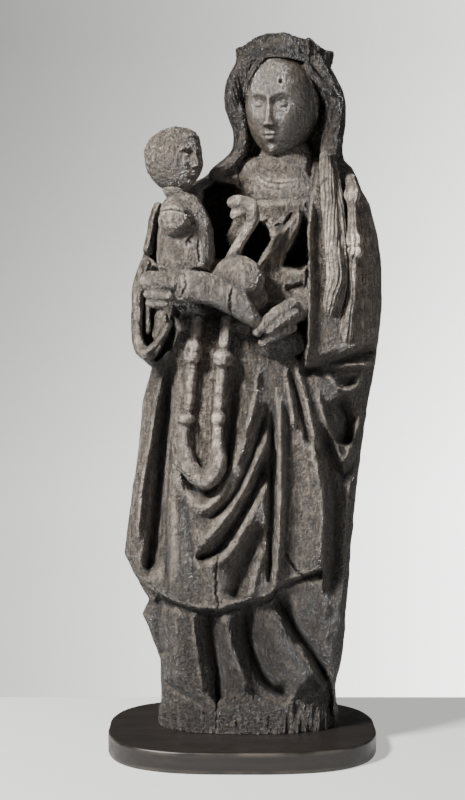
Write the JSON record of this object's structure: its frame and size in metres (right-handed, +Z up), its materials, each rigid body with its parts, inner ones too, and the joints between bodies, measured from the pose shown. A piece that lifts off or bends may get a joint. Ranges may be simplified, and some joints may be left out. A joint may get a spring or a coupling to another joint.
{
  "type": "virgin and child statue",
  "caption": "Standing carved wood figure of a crowned woman in a long mantle holding a nude child on her arm, on a low oval board; stands by its own weight.",
  "frame": {"origin": "centre of the underside of the oval board", "axes": "+Z up, the figure faces -Y, +X is the viewer's right"},
  "size_m": [0.2716, 0.218, 0.7044],
  "materials": {
    "carved_wood": "aged waxed oak, worn, with dark dirt in the hollows and pale rubbed edges",
    "dark_board": "dark stained, satin waxed"
  },
  "bodies": {
    "root": {"virgin_and_child": "carved_wood", "base_board": "dark_board"}
  },
  "joints": []
}
